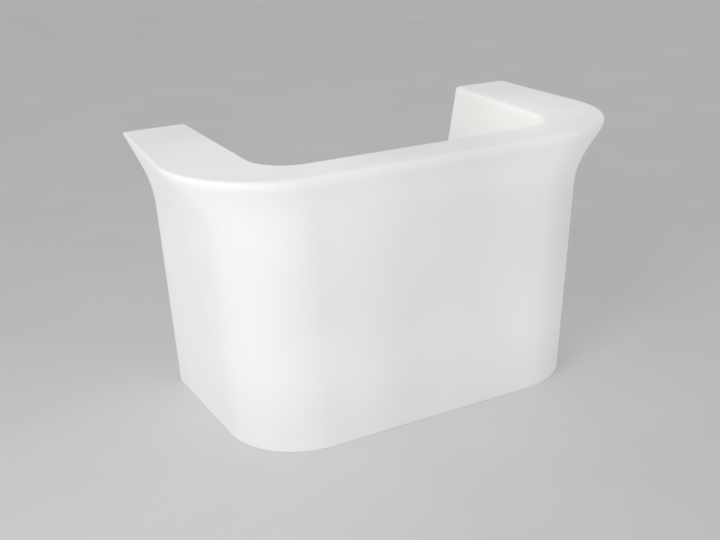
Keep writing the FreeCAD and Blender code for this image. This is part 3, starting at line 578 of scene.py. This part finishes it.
def shell_levels(shell):
    """Heights and insets from the floor to the top, close together round the edges and up the flare."""
    turns = [math.pi / 2 * step / shell.edge_steps for step in range(shell.edge_steps + 1)]
    roll_turns = [math.pi / 2 * step / shell.roll_steps for step in range(shell.roll_steps + 1)]
    flare_low = HEIGHT - shell.arm_flare
    flare_high = HEIGHT - shell.front_flare + shell.flare_blend
    curve = flare_high - flare_low
    wall = flare_low - shell.base_edge
    slope = HEIGHT - shell.lip_roll - flare_high
    heights = [shell.base_edge + wall * step / shell.wall_steps for step in range(1, shell.wall_steps)]
    heights += [flare_low + curve * step / shell.flare_steps for step in range(shell.flare_steps + 1)]
    heights += [flare_high + slope * step / shell.edge_steps for step in range(1, shell.edge_steps)]
    heights += [HEIGHT - shell.lip_roll * (1 - math.sin(turn)) for turn in roll_turns]
    levels = []
    for turn in turns:
        inset = shell.base_edge * (1 - math.sin(turn))
        levels.append((shell.base_edge * (1 - math.cos(turn)), inset, inset))
    levels += [(z, edge_inset(z, shell.top_edge), edge_inset(z, shell.lip_roll)) for z in heights]
    return levels


def shell_form(shell):
    """The whole moulding as one closed skin."""
    form = bmesh.new()
    rings = []
    for z, inset, front_inset in shell_levels(shell):
        rings.append([form.verts.new(point) for point in plan_ring(z, inset, front_inset, shell)])
    return skinned(form, rings)


BLOCK_ARC = 8


def rounded_block(width, height, radius, near, far, place):
    """A block with rounded upright edges between two depths, laid out flat and then placed."""
    outline = []
    for quarter, (right, up) in enumerate(((1, 1), (-1, 1), (-1, -1), (1, -1))):
        centre = Vector((right * (width / 2 - radius), up * (height / 2 - radius), 0))
        for step in range(BLOCK_ARC + 1):
            turn = math.pi / 2 * (quarter + step / BLOCK_ARC)
            outline.append(centre + Vector((math.cos(turn), math.sin(turn), 0)) * radius)
    form = bmesh.new()
    rings = [[form.verts.new(place @ (point + Vector((0, 0, z)))) for point in outline] for z in (far, near)]
    return skinned(form, rings)


def wall_frame(point, along, outward):
    """Matrix from a hatch's flat layout to its place in the bay wall."""
    up = outward.cross(along)
    return Matrix((
        (along.x, up.x, outward.x, point.x),
        (along.y, up.y, outward.y, point.y),
        (along.z, up.z, outward.z, point.z),
        (0, 0, 0, 1)))


def hatch_frames(shell, fitting):
    """Name, matrix and cover length of each hatch."""
    z = fitting.hatch_height
    outward = Vector((0, HEIGHT, shell.bay_lean)).normalized()
    point = Vector((0, bay_front_at(z, shell), z))
    hatches = [("front", wall_frame(point, Vector((-1, 0, 0)), outward), fitting.front_cover)]
    for name, side in SIDES:
        outward = Vector((-side * HEIGHT, 0, shell.bay_lean)).normalized()
        low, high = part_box("hatch_cover_" + name)
        point = Vector((side * bay_half_at(z, shell), (low.y + high.y) / 2, z))
        hatches.append((name, wall_frame(point, Vector((0, -side, 0)), outward), fitting.arm_cover))
    return hatches


def foot_middle(name):
    low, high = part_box("foot_pad_" + name)
    return (low + high) / 2


# Corner radii of hatch rooms, pockets and stem rooms, as shares of the recess's radius or of their widths
ROOM_CORNER_SHARE = 1 / 2
POCKET_CORNER_SHARE = 1 / 20
STEM_CORNER_SHARE = 1 / 3


def shell_cutters(shell, fitting):
    """Blocks that take the hatches' recesses and rooms and the feet's pockets out of the moulding."""
    over = fitting.recess
    blocks = []
    for _, place, run in hatch_frames(shell, fitting):
        width = run + 2 * fitting.cover_gap
        height = fitting.cover_height + 2 * fitting.cover_gap
        radius = fitting.cover_radius + fitting.cover_gap
        blocks.append(rounded_block(width, height, radius, over, -fitting.recess, place))
        width = run - 2 * fitting.seat
        height = fitting.cover_height - 2 * fitting.seat
        blocks.append(rounded_block(width, height, radius * ROOM_CORNER_SHARE, 0, -fitting.inner_room, place))
    for name in FEET:
        middle = foot_middle(name)
        place = Matrix.Translation((middle.x, middle.y, 0))
        width = fitting.pocket_width
        radius = width * POCKET_CORNER_SHARE
        blocks.append(rounded_block(width, width, radius, fitting.pocket_depth, -over, place))
        width = fitting.stem_room
        radius = width * STEM_CORNER_SHARE
        blocks.append(rounded_block(width, width, radius, fitting.stem_depth, 0, place))
    return blocks


class COUNTER_OT_shell(bpy.types.Operator):
    """Build the shell, which has a painted glow, with its hatch recesses and foot pockets"""
    bl_idname = "counter.shell"
    bl_label = "Shell"

    def execute(self, context):
        shell = context.scene.counter_shell_settings
        fitting = context.scene.counter_fitting_settings
        mesh = mesh_of(shell_form(shell), "shell")
        cutters = bpy.data.collections.new("shell_cutters")
        for block in shell_cutters(shell, fitting):
            thing = bpy.data.objects.new("cutter", mesh_of(block, "cutter"))
            cutters.objects.link(thing)
        context.scene.collection.children.link(cutters)
        cut = {"operation": "DIFFERENCE", "operand_type": "COLLECTION", "collection": cutters,
               "solver": "EXACT"}
        mesh = shaped(mesh, "shell", ("BOOLEAN", cut))
        for thing in list(cutters.objects):
            bpy.data.objects.remove(thing)
        bpy.data.collections.remove(cutters)
        mesh.shade_smooth()
        mesh.set_sharp_from_angle(angle=SHELL_CREASE)
        piece("shell", mesh, "shell_plastic", replaces=["counter_shell"])
        return {"FINISHED"}


# Hatch covers and their screws

class COUNTER_OT_covers(bpy.types.Operator):
    """Dress the hatch covers with softened edges"""
    bl_idname = "counter.covers"
    bl_label = "Hatch covers"

    def execute(self, context):
        fitting = context.scene.counter_fitting_settings
        for name in HATCHES:
            node = "hatch_cover_" + name
            mesh = softened(node, "cover_" + name, fitting.edge)
            piece("cover_" + name, mesh, "cover_plastic", replaces=[node])
        return {"FINISHED"}


# Steps round a screw and up its dome, the socket as a share of the head's radius, the flat round the socket
# as a share of the socket, and the head's straight side and the socket's floor as shares of the head's height
SCREW_STEPS = 24
DOME_STEPS = 6
SOCKET_SHARE = 0.42
FLAT_SHARE = 1.25
STRAIGHT_SHARE = 0.25
SOCKET_FLOOR_SHARE = 0.35
SCREW_CREASE = math.radians(40)


def screw_form(fitting):
    """A button-head screw with a six-sided socket, standing on its seat at Z = 0."""
    radius, rise, shank = fitting.screw_radius, fitting.screw_rise, fitting.shank_radius
    socket = radius * SOCKET_SHARE
    flat = socket * FLAT_SHARE
    side = rise * STRAIGHT_SHARE
    turns = [math.tau * step / SCREW_STEPS for step in range(SCREW_STEPS)]
    rounds = [(shank, -fitting.shank_length), (shank, 0.0), (radius, 0.0), (radius, side)]
    for step in range(1, DOME_STEPS):
        lift = math.pi / 2 * step / DOME_STEPS
        rounds.append((flat + (radius - flat) * math.cos(lift), side + (rise - side) * math.sin(lift)))
    form = bmesh.new()
    rings = [[form.verts.new((r * math.cos(t), r * math.sin(t), z)) for t in turns] for r, z in rounds]
    for z in (rise, rise * SOCKET_FLOOR_SHARE):
        ring = []
        for t in turns:
            off = (t + math.pi / 6) % (math.pi / 3) - math.pi / 6
            reach = socket / math.cos(off)
            ring.append(form.verts.new((reach * math.cos(t), reach * math.sin(t), z)))
        rings.append(ring)
    return skinned(form, rings)


def screw_tree():
    """Geometry nodes that stand a copy of one screw on each point, facing out of its cover."""
    tree = bpy.data.node_groups.new("screw_rows", "GeometryNodeTree")
    face = tree.interface
    face.new_socket("Geometry", in_out="INPUT", socket_type="NodeSocketGeometry")
    face.new_socket("Screw", in_out="INPUT", socket_type="NodeSocketObject")
    face.new_socket("Size", in_out="INPUT", socket_type="NodeSocketFloat")
    face.new_socket("Finish", in_out="INPUT", socket_type="NodeSocketMaterial")
    face.new_socket("Geometry", in_out="OUTPUT", socket_type="NodeSocketGeometry")
    nodes, links = tree.nodes, tree.links
    start = add(nodes, "NodeGroupInput")
    end = add(nodes, "NodeGroupOutput")
    screw = add(nodes, "GeometryNodeObjectInfo")
    facing = add(nodes, "GeometryNodeInputNamedAttribute", data_type="FLOAT_VECTOR", Name="facing")
    turn = add(nodes, "FunctionNodeAlignRotationToVector", axis="Z")
    copies = add(nodes, "GeometryNodeInstanceOnPoints")
    solid = add(nodes, "GeometryNodeRealizeInstances")
    dress = add(nodes, "GeometryNodeSetMaterial")
    links.new(start.outputs["Screw"], screw.inputs["Object"])
    links.new(facing.outputs["Attribute"], turn.inputs["Vector"])
    links.new(start.outputs["Geometry"], copies.inputs["Points"])
    links.new(screw.outputs["Geometry"], copies.inputs["Instance"])
    links.new(turn.outputs["Rotation"], copies.inputs["Rotation"])
    links.new(start.outputs["Size"], copies.inputs["Scale"])
    links.new(copies.outputs["Instances"], solid.inputs["Geometry"])
    links.new(solid.outputs["Geometry"], dress.inputs["Geometry"])
    links.new(start.outputs["Finish"], dress.inputs["Material"])
    links.new(dress.outputs["Geometry"], end.inputs["Geometry"])
    return tree


def scattered(points, facings, tree, values):
    """The mesh that a node tree makes on some points, each with the direction that it faces."""
    mesh = bpy.data.meshes.new("points")
    mesh.from_pydata(points, [], [])
    facing = mesh.attributes.new("facing", "FLOAT_VECTOR", "POINT")
    for item, vector in zip(facing.data, facings):
        item.vector = vector
    carrier = bpy.data.objects.new("points", mesh)
    bpy.context.scene.collection.objects.link(carrier)
    modifier = carrier.modifiers.new("rows", "NODES")
    modifier.node_group = tree
    for item in tree.interface.items_tree:
        if item.in_out == "INPUT" and item.name in values:
            modifier[item.identifier] = values[item.name]
    graph = bpy.context.evaluated_depsgraph_get()
    made = bpy.data.meshes.new_from_object(carrier.evaluated_get(graph))
    carrier.modifiers.remove(modifier)
    bpy.data.objects.remove(carrier)
    return made


class COUNTER_OT_screws(bpy.types.Operator):
    """Set the two screws into the top of each hatch cover"""
    bl_idname = "counter.screws"
    bl_label = "Hatch screws"

    def execute(self, context):
        shell = context.scene.counter_shell_settings
        fitting = context.scene.counter_fitting_settings
        points, facings = [], []
        for _, place, run in hatch_frames(shell, fitting):
            for side in (-1, 1):
                x = side * (run / 2 - fitting.screw_inset)
                points.append(place @ Vector((x, (fitting.cover_height - fitting.seat) / 2, 0)))
                facings.append(place.to_3x3() @ Vector((0, 0, 1)))
        screw = bpy.data.objects.new("screw", mesh_of(screw_form(fitting), "screw"))
        context.scene.collection.objects.link(screw)
        values = {"Screw": screw, "Size": 1.0, "Finish": finishes["stainless_steel"]}
        mesh = scattered(points, facings, screw_tree(), values)
        bpy.data.objects.remove(screw)
        mesh.shade_smooth()
        mesh.set_sharp_from_angle(angle=SCREW_CREASE)
        nodes = ["hatch_screws_" + name for name in HATCHES]
        piece("cover_screws", mesh, "stainless_steel", replaces=nodes)
        return {"FINISHED"}


# Switch and inlet

# Steps round the ring on the rocker, and how squarely a face of the rocker has to face the bay to be pressed
RING_STEPS = 28
FACING_SHARE = 0.8


def rocker_marks(fitting):
    """A bar on the pressed half of the rocker and a ring on the other, each a thin closed print."""
    rocker = merged("switch_rocker")
    facing = [face for face in rocker.faces if face.normal.y > FACING_SHARE]
    halves = sorted(facing, key=lambda face: face.calc_area())[-2:]
    lower, upper = sorted(halves, key=lambda face: face.calc_center_median().z)
    across = Vector((1, 0, 0))
    size, stroke, rise = fitting.mark_size, fitting.mark_stroke, fitting.mark_rise
    marks = bmesh.new()
    rows = ((across, stroke), (across.cross(lower.normal), size), (lower.normal, 2 * rise))
    turn = Matrix([axis * span for axis, span in rows]).transposed().to_4x4()
    bmesh.ops.create_cube(marks, size=1, matrix=Matrix.Translation(lower.calc_center_median()) @ turn)
    middle = upper.calc_center_median()
    up = across.cross(upper.normal)
    outer = size / 2
    inner = outer - stroke
    section = [(outer, -rise), (outer, rise), (inner, rise), (inner, -rise)]
    spokes = []
    for step in range(RING_STEPS):
        angle = math.tau * step / RING_STEPS
        spoke = across * math.cos(angle) + up * math.sin(angle)
        spokes.append([marks.verts.new(middle + spoke * far + upper.normal * out) for far, out in section])
    for first, second in zip(spokes, spokes[1:] + spokes[:1]):
        for k in range(len(section)):
            marks.faces.new((first[k - 1], second[k - 1], second[k], first[k]))
    rocker.free()
    return marks


class COUNTER_OT_switch(bpy.types.Operator):
    """Dress the rocker switch"""
    bl_idname = "counter.switch"
    bl_label = "Switch"

    def execute(self, context):
        fitting = context.scene.counter_fitting_settings
        bezel = softened("switch_frame", "switch_bezel", fitting.fine_edge)
        piece("switch_bezel", bezel, "black_plastic", replaces=["switch_frame"])
        rocker = softened("switch_rocker", "rocker", fitting.fine_edge)
        piece("rocker", rocker, "rocker_plastic", body="rocker", replaces=["switch_rocker"])
        marks = mesh_of(rocker_marks(fitting), "rocker_marks")
        piece("rocker_marks", marks, "rocker_plastic", body="rocker", finish="mark_white")
        return {"FINISHED"}


class COUNTER_OT_inlet(bpy.types.Operator):
    """Dress the mains inlet"""
    bl_idname = "counter.inlet"
    bl_label = "Inlet"

    def execute(self, context):
        fitting = context.scene.counter_fitting_settings
        socket = softened("inlet_socket", "inlet", fitting.fine_edge)
        piece("inlet", socket, "black_plastic", replaces=["inlet_socket"])
        blades = softened("inlet_pins", "inlet_blades", fitting.blade_edge)
        piece("inlet_blades", blades, "contact_brass", replaces=["inlet_pins"])
        return {"FINISHED"}


# Feet

class COUNTER_OT_feet(bpy.types.Operator):
    """Dress the levelling feet"""
    bl_idname = "counter.feet"
    bl_label = "Feet"

    def execute(self, context):
        edge = context.scene.counter_fitting_settings.edge
        for name in FEET:
            node = "foot_pad_" + name
            piece("pad_" + name, softened(node, "pad_" + name, edge), "foot_plastic", "foot_" + name, [node])
            stem = frame["nodes"]["foot_stem_" + name].data
            stem.materials.clear()
            stem.materials.append(finishes["foot_thread"])
        return {"FINISHED"}


class COUNTER_OT_inner(bpy.types.Operator):
    """Dress the pieces that keep their CAD shape"""
    bl_idname = "counter.inner"
    bl_label = "Inner pieces"

    def execute(self, context):
        for part in frame["record"]["subparts"]:
            node = part["node"]
            if node.startswith("foot_stem_"):
                continue
            mesh = frame["nodes"][node].data
            mesh.materials.clear()
            mesh.materials.append(finishes[part["material_slot"]])
        return {"FINISHED"}


# Stage

# Lightest tone of the floor as a multiple of its colour, the scale of its grain, and its roughness
FLOOR_MOTTLE_SHARE = 1.04
FLOOR_GRAIN = 1.5
FLOOR_ROUGHNESS = (0.55, 0.65)


def key_lamp(stage):
    """A large square lamp on the left."""
    lamp = bpy.data.lights.new("key", "AREA")
    lamp.shape = "SQUARE"
    lamp.size = stage.lamp_side
    lamp.energy = stage.lamp_watts
    lamp.spread = stage.lamp_spread
    thing = bpy.data.objects.new("key", lamp)
    bpy.context.scene.collection.objects.link(thing)
    place = Vector(stage.lamp_place)
    thing.location = place
    thing.rotation_euler = (Vector(stage.lamp_aim) - place).to_track_quat("-Z", "Y").to_euler()


def studio_world(stage):
    """Even light all round, and a plain backdrop wherever the world itself is seen."""
    world = bpy.data.worlds.new("studio")
    world.use_nodes = True
    nodes, links = world.node_tree.nodes, world.node_tree.links
    sky = nodes["Background"]
    sky.inputs["Color"].default_value = (1, 1, 1, 1)
    sky.inputs["Strength"].default_value = stage.sky_strength
    backdrop = add(nodes, "ShaderNodeBackground", Strength=stage.backdrop)
    backdrop.inputs["Color"].default_value = (1, 1, 1, 1)
    path = add(nodes, "ShaderNodeLightPath")
    seen = path.outputs["Is Camera Ray"]
    for ray in ("Is Glossy Ray", "Is Transmission Ray"):
        either = add(nodes, "ShaderNodeMath", operation="MAXIMUM")
        links.new(seen, either.inputs[0])
        links.new(path.outputs[ray], either.inputs[1])
        seen = either.outputs["Value"]
    mix = add(nodes, "ShaderNodeMixShader")
    links.new(seen, mix.inputs["Fac"])
    links.new(sky.outputs["Background"], mix.inputs[1])
    links.new(backdrop.outputs["Background"], mix.inputs[2])
    links.new(mix.outputs["Shader"], nodes["World Output"].inputs["Surface"])
    return world


class COUNTER_OT_stage(bpy.types.Operator):
    """Set up the floor, the light and the camera"""
    bl_idname = "counter.stage"
    bl_label = "Stage"

    def execute(self, context):
        stage = context.scene.counter_stage_settings
        form = bmesh.new()
        bmesh.ops.create_grid(form, x_segments=2, y_segments=2, size=stage.floor_reach)
        floor = bpy.data.objects.new("floor", mesh_of(form, "floor"))
        context.scene.collection.objects.link(floor)
        tone = tuple(stage.floor_colour)
        pale = tuple(FLOOR_MOTTLE_SHARE * value for value in tone)
        finish = plain_finish("studio_floor", tone, pale, FLOOR_GRAIN, FLOOR_ROUGHNESS, 0.0)
        floor.data.materials.append(finish)
        context.scene.world = studio_world(stage)
        key_lamp(stage)
        camera = bpy.data.objects.new("camera", bpy.data.cameras.new("camera"))
        context.scene.collection.objects.link(camera)
        camera.location = stage.camera_place
        level = math.cos(stage.camera_dip)
        ahead = Vector((math.sin(stage.camera_turn) * level, math.cos(stage.camera_turn) * level,
                        -math.sin(stage.camera_dip)))
        camera.rotation_euler = ahead.to_track_quat("-Z", "Y").to_euler()
        camera.data.sensor_width = SENSOR_WIDTH
        camera.data.lens = stage.focal_pixels * SENSOR_WIDTH / PICTURE_WIDTH
        camera.data.shift_x = (PICTURE_WIDTH / 2 - stage.centre_x) / PICTURE_WIDTH
        camera.data.shift_y = (stage.centre_y - PICTURE_HEIGHT / 2) / PICTURE_WIDTH
        context.scene.camera = camera
        context.scene.view_settings.view_transform = "Standard"
        return {"FINISHED"}


class COUNTER_PT_panel(bpy.types.Panel):
    """Buttons for the counter's pieces, in the order they are made"""
    bl_label = "Bar counter"
    bl_idname = "COUNTER_PT_panel"
    bl_space_type = "VIEW_3D"
    bl_region_type = "UI"
    bl_category = "Counter"

    def draw(self, context):
        for operator in OPERATORS:
            self.layout.operator(operator.bl_idname)


GROUPS = (ShellSettings, FittingSettings, StageSettings)
OPERATORS = (COUNTER_OT_inner, COUNTER_OT_shell, COUNTER_OT_covers, COUNTER_OT_screws, COUNTER_OT_switch,
             COUNTER_OT_inlet, COUNTER_OT_feet, COUNTER_OT_stage)


def register():
    for cls in (*GROUPS, *OPERATORS, COUNTER_PT_panel):
        bpy.utils.register_class(cls)
    bpy.types.Scene.counter_shell_settings = PointerProperty(type=ShellSettings)
    bpy.types.Scene.counter_fitting_settings = PointerProperty(type=FittingSettings)
    bpy.types.Scene.counter_stage_settings = PointerProperty(type=StageSettings)


def unregister():
    del bpy.types.Scene.counter_stage_settings
    del bpy.types.Scene.counter_fitting_settings
    del bpy.types.Scene.counter_shell_settings
    for cls in reversed((*GROUPS, *OPERATORS, COUNTER_PT_panel)):
        bpy.utils.unregister_class(cls)


def main():
    register()
    finishes.update(make_finishes(bpy.context.scene.counter_shell_settings.glow))
    for operator in OPERATORS:
        group, name = operator.bl_idname.split(".")
        getattr(getattr(bpy.ops, group), name)()


if __name__ == "__main__":
    main()
